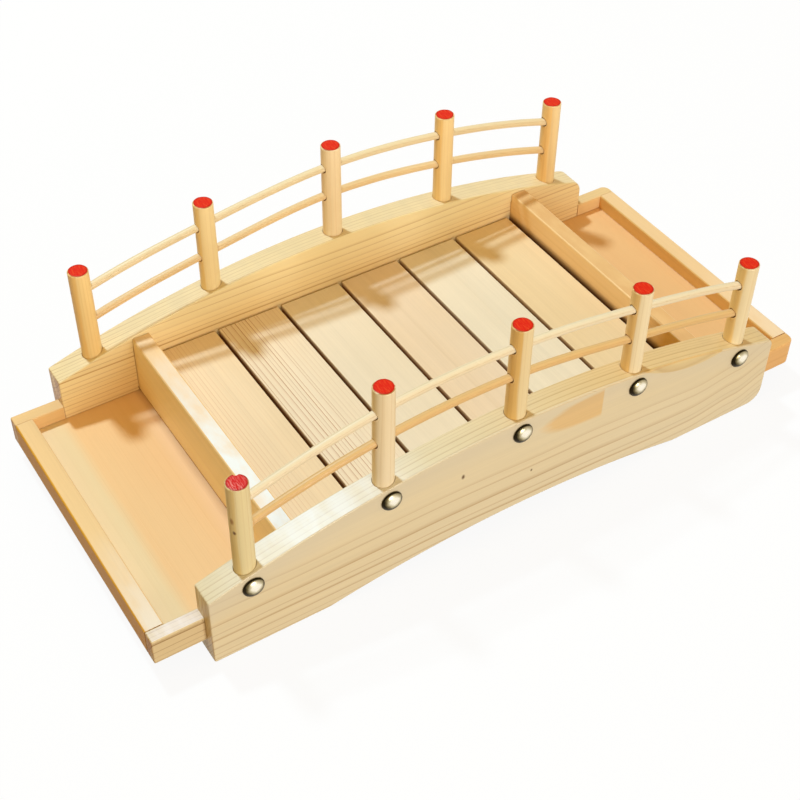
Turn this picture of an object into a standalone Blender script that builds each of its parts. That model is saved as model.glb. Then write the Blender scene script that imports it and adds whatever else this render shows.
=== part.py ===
"""Wooden sushi serving bridge: two arched beams carry a slatted deck, two end trays and two railings.

Units are metres, +Z is up and +X runs along the bridge. The near side faces -Y.
The origin is on the ground under the middle of the bridge.
"""
import math

import bmesh
import bpy
from mathutils import Matrix, Vector

# Fits
CLEARANCE = 0.0003           # gap left between two pieces that touch or are glued
EDGE_ROUND = 0.0008          # sanded edge on every board
EDGE_SEGMENTS = 2

# Posts and their sockets
POST_DIAMETER = 0.0120
POST_HEIGHT = 0.0610         # stands this far above the beam, before its own rise
NEAR_POST_RISES = (0.0005, 0.0055, 0.0020, -0.0035, -0.0035)
FAR_POST_RISES = (-0.0010, -0.0010, 0.0020, 0.0010, -0.0010)
NEAR_POST_SHIFTS = (0.0, 0.0006, 0.0023, 0.0009, -0.0015)  # the sockets are drilled by eye
FAR_POST_SHIFTS = (0.0, -0.0030, -0.0006, -0.0017, 0.0)
POST_TOP_ROUND = 0.0008
POST_FOOT_CHAMFER = 0.0006
POST_SIDES = 24
SOCKET_DEPTH = 0.0220
SOCKET_WALL = 0.0017         # wood left on each side of a post socket

# Arched side beams
BEAM_LENGTH = 0.3800
BEAM_END_HEIGHT = 0.0485
BEAM_CROWN_HEIGHT = 0.0785
FOOT_LENGTH = 0.0700         # flat part of the underside at each end
ARCH_RISE = 0.0108           # height of the hollow between the two feet
SQUARE_CORNER = 0.0012       # end corners that are only eased
NEAR_ROUND_CORNER = 0.0040   # right end of the near beam
FAR_ROUND_CORNER = 0.0100    # right end of the far beam, top
LOWER_ROUND_CORNER = 0.0100  # right end of both beams, bottom
POST_END_INSET = 0.0255      # from a beam's end to its end post
INNER_WIDTH = 0.1740         # between the inner faces of the beams
TOP_STEPS = 30
ARCH_STEPS = 16
CORNER_STEPS = 5

# Dome nails that pin each post in its socket
NAIL_HEAD_DIAMETER = 0.0125
NAIL_HEAD_HEIGHT = 0.0030
NAIL_SHANK_DIAMETER = 0.0018
NAIL_POINT = 0.0020
NAIL_REACH = 0.0070          # length of shank inside the post
NAIL_DROP = 0.0090           # below the top of the beam
NAIL_SIDES = 14
NAIL_DOME_STEPS = 4

# Bent rails through the posts
RAIL_DIAMETER = 0.0047
UPPER_RAIL_HEIGHT = 0.0480   # above the beam's crown
LOWER_RAIL_HEIGHT = 0.0273
RAIL_END_DIP = 0.0035        # the rails run this much nearer to the beam at the end posts
RAIL_SEAT = 0.0085           # depth of a rail's end inside an end post
NEAR_UPPER_LIFTS = (0.0024, 0.0036, 0.0006, -0.0032, -0.0026)  # the holes are drilled by eye too
NEAR_LOWER_LIFTS = (0.0043, 0.0040, 0.0009, -0.0041, -0.0026)
FAR_UPPER_LIFTS = (0.0, -0.0022, 0.0006, 0.0005, 0.0005)
FAR_LOWER_LIFTS = (-0.0012, -0.0027, 0.0013, 0.0, -0.0006)
RAIL_SIDES = 10
RAIL_STEPS = 28
SLOPE_STEP = 0.0010          # step along a rail over which its slope is measured

# End trays and the floor
TRAY_OVERHANG = 0.0300       # the tray stands out past the beam's end
TRAY_WALL_HEIGHT = 0.0178
TRAY_SIDE_THICKNESS = 0.0085
TRAY_END_THICKNESS = 0.0110
TRAY_GROUND_GAP = 0.0117     # from the ground to the underside of the walls
TRAY_ROUND_CORNER = 0.0050   # the right tray's two outer corners, in plan
FLOOR_THICKNESS = 0.0050
FLOOR_RAISE = 0.0030         # from the underside of the walls to the floor's underside
GROOVE_DEPTH = 0.0030        # the floor's edges are let into the walls and beams

# Dividers and deck
DIVIDER_THICKNESS = 0.0110
DIVIDER_HEIGHT = 0.0408      # above the floor
DIVIDER_POST_OFFSET = 0.0280  # from an end post's axis to the divider's middle
DADO_DEPTH = 0.0040
SHOULDER_DROP = 0.0060       # the dividers' housings stop this far below the dividers' tops
BEARER_HEIGHT = 0.0152
BEARER_WIDTH = 0.0100
SLAT_COUNT = 6
SLAT_THICKNESS = 0.0080
SLAT_GAP = 0.0026
SLAT_END_GAP = 0.0008        # from a slat's end to the beam
DECK_START_GAP = 0.0006      # from the left divider to the first slat
DECK_END_GAP = 0.0030        # from the last slat to the right divider

# Colours, linear RGB
PALE_PINE = (0.76, 0.58, 0.33)
WARM_PINE = (0.72, 0.48, 0.23)
CREAM_PINE = (0.80, 0.64, 0.40)
RED_PAINT = (0.72, 0.02, 0.012)
NICKEL = (0.55, 0.52, 0.45)
WOOD_ROUGHNESS = 0.5
PAINT_ROUGHNESS = 0.3
NICKEL_ROUGHNESS = 0.22

# Sizes that follow from the ones above
BEAM_THICKNESS = POST_DIAMETER + 2 * (CLEARANCE + SOCKET_WALL)
BEAM_HALF = BEAM_LENGTH / 2
INNER_Y = INNER_WIDTH / 2
OUTER_Y = INNER_Y + BEAM_THICKNESS
POST_Y = INNER_Y + BEAM_THICKNESS / 2
POST_SPAN = BEAM_HALF - POST_END_INSET
EVEN_POST_X = tuple(POST_SPAN * (i - 2) / 2 for i in range(5))
NEAR_POST_X = tuple(x + shift for x, shift in zip(EVEN_POST_X, NEAR_POST_SHIFTS))
FAR_POST_X = tuple(x + shift for x, shift in zip(EVEN_POST_X, FAR_POST_SHIFTS))
TRAY_HALF = BEAM_HALF + TRAY_OVERHANG
RIM_HEIGHT = TRAY_GROUND_GAP + TRAY_WALL_HEIGHT
FLOOR_BOTTOM = TRAY_GROUND_GAP + FLOOR_RAISE
FLOOR_TOP = FLOOR_BOTTOM + FLOOR_THICKNESS
DIVIDER_X = POST_SPAN - DIVIDER_POST_OFFSET
DECK_HALF = DIVIDER_X - DIVIDER_THICKNESS / 2
SLAT_BOTTOM = FLOOR_TOP + BEARER_HEIGHT + 2 * CLEARANCE


def sagitta_radius(half_chord, rise):
    """Radius of the arc that rises this much over half of its chord."""
    return (half_chord ** 2 + rise ** 2) / (2 * rise)


TOP_RADIUS = sagitta_radius(BEAM_HALF, BEAM_CROWN_HEIGHT - BEAM_END_HEIGHT)
ARCH_HALF = BEAM_HALF - FOOT_LENGTH
ARCH_RADIUS = sagitta_radius(ARCH_HALF, ARCH_RISE)


def beam_top(x):
    """Height of the beam's arched top edge at a place along it."""
    return BEAM_CROWN_HEIGHT - TOP_RADIUS + math.sqrt(TOP_RADIUS ** 2 - x ** 2)


RAIL_RADIUS = sagitta_radius(POST_SPAN, BEAM_CROWN_HEIGHT - beam_top(POST_SPAN) + RAIL_END_DIP)


def material(name, colour, roughness, metallic=0.0):
    mat = bpy.data.materials.new(name)
    mat.use_nodes = True
    shader = mat.node_tree.nodes["Principled BSDF"]
    shader.inputs["Base Color"].default_value = (*colour, 1.0)
    shader.inputs["Roughness"].default_value = roughness
    shader.inputs["Metallic"].default_value = metallic
    mat.diffuse_color = (*colour, 1.0)
    return mat


def add_object(name, bm, location=(0.0, 0.0, 0.0)):
    """Turn a bmesh into an object of the scene, faces pointing out."""
    bmesh.ops.recalc_face_normals(bm, faces=bm.faces)
    mesh = bpy.data.meshes.new(name)
    bm.to_mesh(mesh)
    bm.free()
    obj = bpy.data.objects.new(name, mesh)
    obj.location = location
    bpy.context.scene.collection.objects.link(obj)
    return obj


def finish_piece(obj, root, colour, roughness=WOOD_ROUGHNESS, metallic=0.0):
    """Give a piece its own material and hang it on the assembly."""
    obj.data.materials.append(material(obj.name, colour, roughness, metallic))
    obj.parent = root
    return obj


def shade_round(obj):
    obj.data.shade_smooth()
    obj.data.set_sharp_from_angle(angle=math.radians(35))


def ease_edges(obj, width=EDGE_ROUND):
    """Sand the sharp edges of a board."""
    bevel = obj.modifiers.new("eased_edges", "BEVEL")
    bevel.width = width
    bevel.segments = EDGE_SEGMENTS
    bevel.limit_method = "ANGLE"
    bevel.angle_limit = math.radians(40)


def as_cutter(obj):
    obj.hide_render = True
    obj.display_type = "WIRE"
    return obj


def cut(obj, cutter):
    boolean = obj.modifiers.new(cutter.name, "BOOLEAN")
    boolean.operation = "DIFFERENCE"
    boolean.solver = "EXACT"
    boolean.object = cutter


def add_box(bm, low, high):
    """Add a closed box between two corners."""
    low = Vector(low)
    high = Vector(high)
    size = Matrix.Diagonal((*(high - low), 1.0))
    bmesh.ops.create_cube(bm, size=1.0, matrix=Matrix.Translation((low + high) / 2) @ size)


def round_upright(bm, toward):
    """Round a box's upright edge on one side of its middle, given as signs along X and Y."""
    corner = [edge for edge in bm.edges
              if all(vert.co.x * toward[0] > 0 and vert.co.y * toward[1] > 0 for vert in edge.verts)]
    bmesh.ops.bevel(bm, geom=corner, offset=TRAY_ROUND_CORNER, offset_type="OFFSET",
                    segments=CORNER_STEPS, profile=0.5, affect="EDGES")


def board(name, low, high, rounded=None):
    """A plain board between two corners, its origin in its middle, with sanded edges."""
    middle = (Vector(low) + Vector(high)) / 2
    bm = bmesh.new()
    add_box(bm, Vector(low) - middle, Vector(high) - middle)
    if rounded:
        round_upright(bm, rounded)
    obj = add_object(name, bm, middle)
    ease_edges(obj)
    return obj


def add_rod(bm, start, end, radius, sides):
    """Add a closed straight rod between two points."""
    start = Vector(start)
    end = Vector(end)
    turn = (end - start).to_track_quat("Z", "Y").to_matrix().to_4x4()
    place = Matrix.Translation((start + end) / 2) @ turn
    bmesh.ops.create_cone(
        bm, cap_ends=True, segments=sides, radius1=radius, radius2=radius,
        depth=(end - start).length, matrix=place)


def turned(profile, sides):
    """Turn a profile of (radius, height) points, which starts and ends on the axis, round Z."""
    bm = bmesh.new()
    points = [bm.verts.new((radius, 0.0, height)) for radius, height in profile]
    edges = [bm.edges.new(pair) for pair in zip(points, points[1:])]
    bmesh.ops.spin(
        bm, geom=points + edges, cent=(0, 0, 0), axis=(0, 0, 1),
        angle=math.tau, steps=sides, use_merge=True)
    bmesh.ops.remove_doubles(bm, verts=bm.verts, dist=1e-6)
    return bm


def arc(centre_x, centre_z, radius, start, end, steps):
    """Points along an arc in the XZ plane, both ends included, angles in radians from +X."""
    angles = (start + (end - start) * i / steps for i in range(steps + 1))
    return [(centre_x + radius * math.cos(a), centre_z + radius * math.sin(a)) for a in angles]


def top_corner(radius):
    """Fillet centre and angle where the arched top runs into a beam's upright end."""
    arc_z = BEAM_CROWN_HEIGHT - TOP_RADIUS
    reach = BEAM_HALF - radius
    lift = math.sqrt((TOP_RADIUS - radius) ** 2 - reach ** 2)
    return reach, arc_z + lift, math.atan2(lift, reach)


def beam_outline(right_corner):
    """Side view of a beam: two flat feet, a hollow between them, upright ends and an arched top."""
    arch_angle = math.asin(ARCH_HALF / ARCH_RADIUS)
    quarter = math.pi / 2
    arch_z = ARCH_RISE - ARCH_RADIUS
    hollow = arc(0.0, arch_z, ARCH_RADIUS, quarter + arch_angle, quarter - arch_angle, ARCH_STEPS)
    low_right = arc(BEAM_HALF - LOWER_ROUND_CORNER, LOWER_ROUND_CORNER, LOWER_ROUND_CORNER,
                    -quarter, 0.0, CORNER_STEPS)
    right_x, right_z, right_angle = top_corner(right_corner)
    top_right = arc(right_x, right_z, right_corner, 0.0, right_angle, CORNER_STEPS)
    left_x, left_z, left_angle = top_corner(SQUARE_CORNER)
    top = arc(0.0, BEAM_CROWN_HEIGHT - TOP_RADIUS, TOP_RADIUS,
              right_angle, math.pi - left_angle, TOP_STEPS)
    top_left = arc(-left_x, left_z, SQUARE_CORNER, math.pi - left_angle, math.pi, 2)
    low_left = arc(SQUARE_CORNER - BEAM_HALF, SQUARE_CORNER, SQUARE_CORNER, math.pi, 1.5 * math.pi, 2)
    return hollow + low_right + top_right + top[1:-1] + top_left + low_left


def make_beam(name, side, right_corner):
    """One arched beam, its origin on the ground at the middle of its length and thickness."""
    bm = bmesh.new()
    back = [bm.verts.new((x, -BEAM_THICKNESS / 2, z)) for x, z in beam_outline(right_corner)]
    face = bm.faces.new(back)
    grown = bmesh.ops.extrude_face_region(bm, geom=[face])
    front = [item for item in grown["geom"] if isinstance(item, bmesh.types.BMVert)]
    bmesh.ops.translate(bm, vec=(0.0, BEAM_THICKNESS, 0.0), verts=front)
    obj = add_object(name, bm, (0.0, side * POST_Y, 0.0))
    ease_edges(obj)
    return obj


def socket_cutter(name, side, places):
    """Five blind sockets for the posts of one beam."""
    bm = bmesh.new()
    for x in places:
        top = beam_top(x)
        add_rod(bm, (x, side * POST_Y, top - SOCKET_DEPTH), (x, side * POST_Y, top + SOCKET_DEPTH),
                POST_DIAMETER / 2 + CLEARANCE, POST_SIDES)
    return as_cutter(add_object(name, bm))


def nail_place(x, side):
    """Centre of a nail head's back, on the outer face of a beam."""
    return Vector((x, side * (OUTER_Y + CLEARANCE), beam_top(x) - NAIL_DROP))


def nail_depth():
    """Length of a nail's shank, from its head to its point."""
    return 2 * CLEARANCE + SOCKET_WALL + NAIL_REACH


def nail_cutter(name, side, places):
    """Pilot holes for the five nails of one beam, through the socket wall into the posts."""
    bm = bmesh.new()
    for x in places:
        start = nail_place(x, side)
        out = Vector((0.0, side, 0.0))
        add_rod(bm, start - out * (nail_depth() + CLEARANCE), start + out * NAIL_HEAD_HEIGHT,
                NAIL_SHANK_DIAMETER / 2 + CLEARANCE, NAIL_SIDES)
    return as_cutter(add_object(name, bm))


def divider_box(sign, grow):
    """Low and high corners of a divider, grown by a gap on all sides."""
    half = DIVIDER_THICKNESS / 2 + grow
    reach = INNER_Y + DADO_DEPTH - CLEARANCE + grow
    bottom = FLOOR_TOP + CLEARANCE - grow
    top = FLOOR_TOP + CLEARANCE + DIVIDER_HEIGHT + grow
    return (sign * DIVIDER_X - half, -reach, bottom), (sign * DIVIDER_X + half, reach, top)


def dado_cutter(name):
    """Two stopped housings across both beams, which take the dividers' ends."""
    bm = bmesh.new()
    for sign in (-1, 1):
        low, high = divider_box(sign, CLEARANCE)
        add_box(bm, low, (high[0], high[1], high[2] - SHOULDER_DROP))
    return as_cutter(add_object(name, bm))


def shoulder_cutter(name):
    """Cuts the dividers' upper end corners back to the beams, above the stopped housings."""
    bm = bmesh.new()
    top = divider_box(1, 0.0)[1][2]
    for side in (-1, 1):
        low_y, high_y = sorted((side * (INNER_Y - CLEARANCE), side * OUTER_Y))
        add_box(bm, (-BEAM_HALF, low_y, top - SHOULDER_DROP), (BEAM_HALF, high_y, top + SHOULDER_DROP))
    return as_cutter(add_object(name, bm))


def floor_box(grow):
    """Low and high corners of the floor panel, grown by a gap on all sides."""
    half_x = TRAY_HALF - TRAY_END_THICKNESS + GROOVE_DEPTH + grow
    half_y = INNER_Y + GROOVE_DEPTH + grow
    return (-half_x, -half_y, FLOOR_BOTTOM - grow), (half_x, half_y, FLOOR_TOP + grow)


def groove_cutter(name):
    """The groove all round that holds the floor panel's edges."""
    bm = bmesh.new()
    add_box(bm, *floor_box(CLEARANCE))
    return as_cutter(add_object(name, bm))


def rail_lift(x, lifts):
    """How far a rail stands off its even bend: a smooth curve through the heights of its holes."""
    last = len(lifts) - 1
    place = min(max((x + POST_SPAN) / (2 * POST_SPAN) * last, 0.0), last)
    first = min(int(place), last - 1)
    share = place - first
    before, start, end, after = (lifts[min(max(first + i, 0), last)] for i in (-1, 0, 1, 2))
    bend = 3 * share ** 2 - 2 * share ** 3
    leave = (end - before) / 2 * share * (1 - share) ** 2
    arrive = (after - start) / 2 * share ** 2 * (1 - share)
    return start + (end - start) * bend + leave - arrive


def rail_line(x, height, lifts):
    """Height of a rail's axis at a place along it."""
    even = BEAM_CROWN_HEIGHT + height - RAIL_RADIUS + math.sqrt(RAIL_RADIUS ** 2 - x ** 2)
    return even + rail_lift(x, lifts)


def add_rail(bm, height, lifts, radius, seat):
    """Add a round bent rail, the middle of its axis at the origin."""
    reach = POST_SPAN - POST_DIAMETER / 2 + seat
    middle = rail_line(0.0, height, lifts)
    rings = []
    for step in range(RAIL_STEPS + 1):
        x = reach * (2 * step / RAIL_STEPS - 1)
        climb = rail_line(x + SLOPE_STEP, height, lifts) - rail_line(x - SLOPE_STEP, height, lifts)
        turn = Matrix.Rotation(math.pi / 2 - math.atan2(climb, 2 * SLOPE_STEP), 4, "Y")
        place = Matrix.Translation((x, 0.0, rail_line(x, height, lifts) - middle)) @ turn
        ring = bmesh.ops.create_circle(bm, segments=RAIL_SIDES, radius=radius, matrix=place)
        rings.append(ring["verts"])
    for ring, after in zip(rings, rings[1:]):
        for i in range(RAIL_SIDES):
            bm.faces.new((ring[i - 1], ring[i], after[i], after[i - 1]))
    bm.faces.new(rings[0])
    bm.faces.new(rings[-1])


def make_rail(name, side, height, lifts):
    """One bent rail, its origin at the middle of its axis."""
    bm = bmesh.new()
    add_rail(bm, height, lifts, RAIL_DIAMETER / 2, RAIL_SEAT)
    obj = add_object(name, bm, (0.0, side * POST_Y, rail_line(0.0, height, lifts)))
    shade_round(obj)
    return obj


def rail_cutter(name, side, height, lifts):
    """The holes that a rail passes through, a little larger than the rail."""
    bm = bmesh.new()
    add_rail(bm, height, lifts, RAIL_DIAMETER / 2 + CLEARANCE, RAIL_SEAT + CLEARANCE)
    return as_cutter(add_object(name, bm, (0.0, side * POST_Y, rail_line(0.0, height, lifts))))


def make_post(name, x, side, rise):
    """One round post, its origin at the middle of its foot."""
    radius = POST_DIAMETER / 2
    length = SOCKET_DEPTH - CLEARANCE + POST_HEIGHT + rise
    shoulder = arc(radius - POST_TOP_ROUND, length - POST_TOP_ROUND, POST_TOP_ROUND, 0.0, math.pi / 2, 2)
    profile = [(0.0, 0.0), (radius - POST_FOOT_CHAMFER, 0.0), (radius, POST_FOOT_CHAMFER)]
    bm = turned(profile + shoulder + [(0.0, length)], POST_SIDES)
    obj = add_object(name, bm, (x, side * POST_Y, beam_top(x) - SOCKET_DEPTH + CLEARANCE))
    shade_round(obj)
    return obj


def paint_top(obj):
    """Red paint on a post's flat top."""
    obj.data.materials.append(material(obj.name + "_paint", RED_PAINT, PAINT_ROUGHNESS))
    top = max(vert.co.z for vert in obj.data.vertices)
    for face in obj.data.polygons:
        if face.center.z > top - POST_TOP_ROUND / 4:
            face.material_index = 1


def make_nail(name, x, side):
    """One dome-headed nail, its origin at the back of its head and its point towards the post."""
    head = NAIL_HEAD_DIAMETER / 2
    shank = NAIL_SHANK_DIAMETER / 2
    depth = nail_depth()
    profile = [(0.0, -depth), (shank, NAIL_POINT - depth), (shank, 0.0), (head, 0.0)]
    for step in range(1, NAIL_DOME_STEPS + 1):
        angle = math.pi / 2 * step / NAIL_DOME_STEPS
        profile.append((head * math.cos(angle), NAIL_HEAD_HEIGHT * math.sin(angle)))
    profile[-1] = (0.0, NAIL_HEAD_HEIGHT)
    obj = add_object(name, turned(profile, NAIL_SIDES), nail_place(x, side))
    obj.rotation_euler = (-side * math.pi / 2, 0.0, 0.0)
    shade_round(obj)
    return obj


def build_side(root, name, side, right_corner, places, rises, rail_lifts, housings):
    """One side of the bridge: beam, posts, nails and both rails."""
    beam = make_beam(name + "_beam", side, right_corner)
    sockets = socket_cutter("cut_" + name + "_sockets", side, places)
    nail_holes = nail_cutter("cut_" + name + "_nails", side, places)
    for cutter in [sockets, nail_holes] + housings:
        cut(beam, cutter)
    finish_piece(beam, root, PALE_PINE if side < 0 else WARM_PINE)

    rail_holes = []
    for level, height, lifts, colour in (("upper", UPPER_RAIL_HEIGHT, rail_lifts[0], PALE_PINE),
                                         ("lower", LOWER_RAIL_HEIGHT, rail_lifts[1], WARM_PINE)):
        rail = f"{name}_{level}_rail"
        finish_piece(make_rail(rail, side, height, lifts), root, colour)
        rail_holes.append(rail_cutter("cut_" + rail, side, height, lifts))

    for number, (x, rise) in enumerate(zip(places, rises), start=1):
        post = make_post(f"{name}_post_{number}", x, side, rise)
        for cutter in rail_holes + [nail_holes]:
            cut(post, cutter)
        finish_piece(post, root, PALE_PINE)
        paint_top(post)
        nail = make_nail(f"{name}_nail_{number}", x, side)
        finish_piece(nail, root, NICKEL, NICKEL_ROUGHNESS, 1.0)


def build_trays(root, groove):
    """The floor panel, and the low walls of both end trays, which its edges are let into."""
    floor = board("floor_panel", *floor_box(0.0))
    finish_piece(floor, root, WARM_PINE)
    for end, sign in (("left", -1), ("right", 1)):
        near_x, far_x = sorted((sign * TRAY_HALF, sign * (TRAY_HALF - TRAY_END_THICKNESS)))
        reach = INNER_Y - CLEARANCE
        walls = [board(end + "_end_wall", (near_x, -reach, TRAY_GROUND_GAP), (far_x, reach, RIM_HEIGHT))]
        near_x, far_x = sorted((sign * (BEAM_HALF + CLEARANCE), sign * TRAY_HALF))
        for name, side in (("near", -1), ("far", 1)):
            low_y, high_y = sorted((side * INNER_Y, side * (INNER_Y + TRAY_SIDE_THICKNESS)))
            rounded = (sign, side) if end == "right" else None
            walls.append(board(f"{name}_{end}_wall", (near_x, low_y, TRAY_GROUND_GAP),
                               (far_x, high_y, RIM_HEIGHT), rounded))
        for wall in walls:
            cut(wall, groove)
            finish_piece(wall, root, WARM_PINE)


def build_deck(root):
    """The two dividers, and the slats on their bearers between them."""
    shoulders = shoulder_cutter("cut_shoulders")
    for name, sign in (("left_divider", -1), ("right_divider", 1)):
        divider = board(name, *divider_box(sign, 0.0))
        cut(divider, shoulders)
        finish_piece(divider, root, PALE_PINE)

    reach = DECK_HALF - CLEARANCE
    base = FLOOR_TOP + CLEARANCE
    for name, side in (("near_bearer", -1), ("far_bearer", 1)):
        outer = INNER_Y - CLEARANCE
        low_y, high_y = sorted((side * outer, side * (outer - BEARER_WIDTH)))
        bearer = board(name, (-reach, low_y, base), (reach, high_y, base + BEARER_HEIGHT))
        finish_piece(bearer, root, PALE_PINE)

    room = 2 * DECK_HALF - DECK_START_GAP - DECK_END_GAP - SLAT_GAP * (SLAT_COUNT - 1)
    width = room / SLAT_COUNT
    half_length = INNER_Y - SLAT_END_GAP
    for index in range(SLAT_COUNT):
        start = -DECK_HALF + DECK_START_GAP + index * (width + SLAT_GAP)
        slat = board(f"deck_slat_{index + 1}", (start, -half_length, SLAT_BOTTOM),
                     (start + width, half_length, SLAT_BOTTOM + SLAT_THICKNESS))
        finish_piece(slat, root, CREAM_PINE if index % 2 == 0 else WARM_PINE)


def main():
    for obj in list(bpy.data.objects):
        bpy.data.objects.remove(obj, do_unlink=True)
    root = bpy.data.objects.new("bridge", None)
    bpy.context.scene.collection.objects.link(root)
    dadoes = dado_cutter("cut_dadoes")
    groove = groove_cutter("cut_floor_groove")
    housings = [dadoes, groove]
    build_side(root, "near", -1, NEAR_ROUND_CORNER, NEAR_POST_X, NEAR_POST_RISES,
               (NEAR_UPPER_LIFTS, NEAR_LOWER_LIFTS), housings)
    build_side(root, "far", 1, FAR_ROUND_CORNER, FAR_POST_X, FAR_POST_RISES,
               (FAR_UPPER_LIFTS, FAR_LOWER_LIFTS), housings)
    build_trays(root, groove)
    build_deck(root)


main()
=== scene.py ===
# Pine sushi bridge: the looks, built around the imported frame. Metres, +X along the bridge, near side at -Y.
from math import asin, atan2, cos, pi, radians, sin, sqrt, tau

import bmesh
import bpy
from mathutils import Matrix, Vector, noise


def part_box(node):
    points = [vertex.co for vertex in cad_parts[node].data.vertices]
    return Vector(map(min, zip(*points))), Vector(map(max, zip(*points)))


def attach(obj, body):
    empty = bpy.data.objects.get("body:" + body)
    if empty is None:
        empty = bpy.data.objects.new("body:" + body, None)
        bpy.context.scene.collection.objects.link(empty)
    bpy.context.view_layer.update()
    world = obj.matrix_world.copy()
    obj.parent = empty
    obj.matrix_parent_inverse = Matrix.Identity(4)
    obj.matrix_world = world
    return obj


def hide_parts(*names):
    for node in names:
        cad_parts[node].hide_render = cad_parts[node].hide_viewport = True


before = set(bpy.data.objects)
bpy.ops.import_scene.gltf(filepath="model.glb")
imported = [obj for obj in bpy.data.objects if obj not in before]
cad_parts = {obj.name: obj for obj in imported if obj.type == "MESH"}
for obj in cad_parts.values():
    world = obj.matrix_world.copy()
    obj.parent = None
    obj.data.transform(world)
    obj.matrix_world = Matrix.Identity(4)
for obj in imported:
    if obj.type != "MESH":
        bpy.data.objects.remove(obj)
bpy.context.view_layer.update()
scene = bpy.context.scene
bothSides = (("near", -1), ("far", 1))
print("frame loaded:", len(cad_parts), "nodes")


# Small helpers for node trees

def toLinear(rgb):
    return tuple(((c / 255 + 0.055) / 1.055) ** 2.4 if c > 10 else c / 255 / 12.92 for c in rgb) + (1.0,)


# Gives each named input of a node its value or its link
def fill(tree, node, inputs):
    for label, value in dict(inputs).items():
        if isinstance(value, bpy.types.NodeSocket):
            tree.links.new(value, node.inputs[label])
        else:
            node.inputs[label].default_value = value


def addNode(tree, kind, inputs=(), **settings):
    node = tree.nodes.new("ShaderNode" + kind)
    for setting, value in settings.items():
        setattr(node, setting, value)
    fill(tree, node, inputs)
    return node


def sumNode(tree, operation, *values, clamp=False):
    return addNode(tree, "Math", enumerate(values), operation=operation, use_clamp=clamp).outputs[0]


def times(tree, first, *others, clamp=False):
    for other in others:
        first = sumNode(tree, "MULTIPLY", first, other, clamp=clamp)
    return first


def timesPlus(tree, first, second, third, clamp=False):
    return sumNode(tree, "MULTIPLY_ADD", first, second, third, clamp=clamp)


def minus(tree, first, second):
    return sumNode(tree, "SUBTRACT", first, second)


def vectorNode(tree, operation, *values):
    node = addNode(tree, "VectorMath", enumerate(values), operation=operation)
    return node.outputs["Value" if operation in ("LENGTH", "DOT_PRODUCT") else "Vector"]


def stretch(tree, vector, scale):
    return vectorNode(tree, "MULTIPLY", vector, scale)


def scaleNode(tree, vector, amount):
    return addNode(tree, "VectorMath", {0: vector, "Scale": amount}, operation="SCALE").outputs["Vector"]


def splitNode(tree, vector):
    return addNode(tree, "SeparateXYZ", {0: vector}).outputs


def noiseNode(tree, vector, detail=2.0, roughness=0.5, colour=False):
    inputs = {"Vector": vector, "Scale": 1.0, "Detail": detail, "Roughness": roughness}
    return addNode(tree, "TexNoise", inputs).outputs[1 if colour else 0]


# Steps: low, high, new low, new high
def rangeNode(tree, value, *steps):
    return addNode(tree, "MapRange", enumerate((value, *steps)), clamp=True).outputs[0]


def rampNode(tree, value, stops, interpolation="LINEAR"):
    node = addNode(tree, "ValToRGB", {0: value})
    ramp = node.color_ramp
    ramp.interpolation = interpolation
    for at, tone in stops[2:]:
        ramp.elements.new(at)
    for element, (at, tone) in zip(ramp.elements, stops):
        element.position = at
        element.color = tone if hasattr(tone, "__len__") else (tone, tone, tone, 1.0)
    return node.outputs[0]


def mixNode(tree, factor, first, second, blend="MIX"):
    inputs = {0: factor, 6: first, 7: second}
    return addNode(tree, "Mix", inputs, data_type="RGBA", blend_type=blend).outputs[2]


def tintNode(tree, mask, colour, tint):
    return mixNode(tree, mask, colour, toLinear(tint), "MULTIPLY")


def bumpNode(tree, height, strength, distance):
    return addNode(tree, "Bump", {"Height": height, "Strength": strength, "Distance": distance}).outputs[0]


# A node group, its sockets listed by kind
def startGroup(name, inputs, outputs):
    group = bpy.data.node_groups.new(name, "ShaderNodeTree")
    for way, kinds in (("INPUT", inputs), ("OUTPUT", outputs)):
        for kind, labels in kinds.items():
            for label in labels:
                group.interface.new_socket(name=label, in_out=way, socket_type="NodeSocket" + kind)
    return group, group.nodes.new("NodeGroupInput").outputs, group.nodes.new("NodeGroupOutput").inputs


def placeGroup(tree, group, inputs):
    return addNode(tree, "Group", inputs, node_tree=group).outputs


def newMaterial(name):
    material = bpy.data.materials.new(name)
    material.use_nodes = True
    tree = material.node_tree
    return material, tree, tree.nodes["Principled BSDF"]


# Noises of the grain, each squeezed along the fibres and across them, and how rings and tones follow
grain = dict(
    bend=(6.0, 26.0), fade=(4.0, 24.0), fibre=(20.0, 1000.0), streak=(4.0, 190.0), patch=(5.0, 15.0),
    across=(0.0, 1.0, 1.0), seedShifts=(1.31, 2.17, 3.73), unevenPace=0.37, uneven=(1.6, -0.8),
    ring=((0.0, 0.0), (0.7, 0.05), (0.87, 0.5), (0.95, 1.0), (1.0, 0.0)), ringStrength=(0.0, 1.0, 0.45, 1.0),
    fadeSteps=(0.32, 0.68, 0.45, 1.0), warmSteps=(0.36, 0.66, 0.0, 1.0), ringHeight=0.6,
    glossSteps=(0.2, 0.8),
)


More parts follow.
